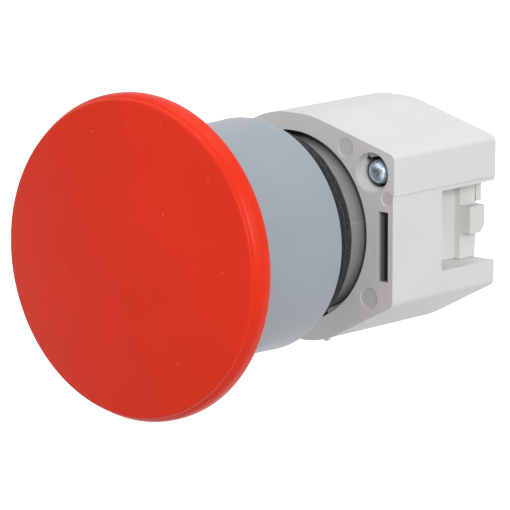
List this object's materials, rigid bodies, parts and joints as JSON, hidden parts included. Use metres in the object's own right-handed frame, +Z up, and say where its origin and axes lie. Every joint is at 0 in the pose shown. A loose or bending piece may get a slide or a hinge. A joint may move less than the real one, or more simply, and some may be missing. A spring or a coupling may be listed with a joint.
{
  "type": "emergency stop button",
  "caption": "Red mushroom head emergency stop button for a 22 mm panel hole, with grey collar, clamp-on holder and contact blocks behind the panel.",
  "frame": {"origin": "centre of the panel hole, on the panel's front face where the rubber seal meets it", "axes": "-Y out of the panel towards the user along the stem's axis, +Y behind the panel, +X right and +Z up as the user sees it"},
  "size_m": [0.04, 0.0585, 0.04],
  "materials": {
    "head_red": "fine matt moulded",
    "print_white": "flat print, pinkish white",
    "collar_grey": "satin moulded",
    "seal_rubber": "matt, finely speckled",
    "bushing_grey": "satin moulded",
    "holder_white": "matt moulded, warm light grey",
    "block_white": "matt moulded",
    "cover_white": "matt moulded",
    "stem_nylon": "satin nylon",
    "plunger_red": "satin moulded",
    "plunger_green": "satin moulded",
    "zinc_screw": "zinc plated, bright",
    "spring_steel": "drawn wire",
    "contact_brass": "stamped brass strip with silver tips"
  },
  "bodies": {
    "base": {"stem_seal": "seal_rubber", "collar": "collar_grey", "panel_seal": "seal_rubber", "bushing": "bushing_grey", "trip_spring": "spring_steel", "rear_guide": "stem_nylon", "latch_ring": "spring_steel", "holder": "holder_white", "clamp_inserts": "contact_brass", "nc_housing": "block_white", "nc_cover": "cover_white", "nc_spring": "spring_steel", "nc_terminal_upper": "contact_brass", "nc_terminal_lower": "contact_brass", "no_housing": "block_white", "no_cover": "cover_white", "no_spring": "spring_steel", "no_terminal_upper": "contact_brass", "no_terminal_lower": "contact_brass"},
    "actuator": {"head_cap": "head_red", "stem": "stem_nylon", "pusher_plate": "stem_nylon", "pusher_screw": "zinc_screw"},
    "nc_contact": {"nc_plunger": "plunger_red", "nc_bridge": "contact_brass"},
    "no_contact": {"no_plunger": "plunger_green", "no_bridge": "contact_brass"},
    "clamp_upper": {"clamp_screw_upper": "zinc_screw"},
    "clamp_lower": {"clamp_screw_lower": "zinc_screw"},
    "nc_terminal_screw_upper": {"nc_screw_upper": "zinc_screw", "nc_clamp_upper": "zinc_screw"},
    "nc_terminal_screw_lower": {"nc_screw_lower": "zinc_screw", "nc_clamp_lower": "zinc_screw"},
    "no_terminal_screw_upper": {"no_screw_upper": "zinc_screw", "no_clamp_upper": "zinc_screw"},
    "no_terminal_screw_lower": {"no_screw_lower": "zinc_screw", "no_clamp_lower": "zinc_screw"}
  },
  "joints": [
    {"name": "press", "type": "slide", "parent": "base", "child": "actuator", "axis": [0, 1, 0], "range_m": [0, 0.004], "deforming": ["trip_spring", "latch_ring"]},
    {"name": "nc_follow", "type": "slide", "parent": "base", "child": "nc_contact", "axis": [0, 1, 0], "range_m": [0, 0.004], "deforming": ["nc_spring"]},
    {"name": "no_follow", "type": "slide", "parent": "base", "child": "no_contact", "axis": [0, 1, 0], "range_m": [0, 0.004], "deforming": ["no_spring"]},
    {"name": "clamp_upper_advance", "type": "slide", "parent": "base", "child": "clamp_upper", "axis": [0, -1, 0], "range_m": [0, 0.0032]},
    {"name": "clamp_lower_advance", "type": "slide", "parent": "base", "child": "clamp_lower", "axis": [0, -1, 0], "range_m": [0, 0.0032]},
    {"name": "nc_screw_upper_loosen", "type": "slide", "parent": "base", "child": "nc_terminal_screw_upper", "axis": [0, 1, 0], "range_m": [0, 0.0012]},
    {"name": "nc_screw_lower_loosen", "type": "slide", "parent": "base", "child": "nc_terminal_screw_lower", "axis": [0, 1, 0], "range_m": [0, 0.0012]},
    {"name": "no_screw_upper_loosen", "type": "slide", "parent": "base", "child": "no_terminal_screw_upper", "axis": [0, 1, 0], "range_m": [0, 0.0012]},
    {"name": "no_screw_lower_loosen", "type": "slide", "parent": "base", "child": "no_terminal_screw_lower", "axis": [0, 1, 0], "range_m": [0, 0.0012]}
  ],
  "couplings": [
    {"joint": "nc_follow", "follows": "press", "ratio": 1},
    {"joint": "no_follow", "follows": "press", "ratio": 1}
  ]
}
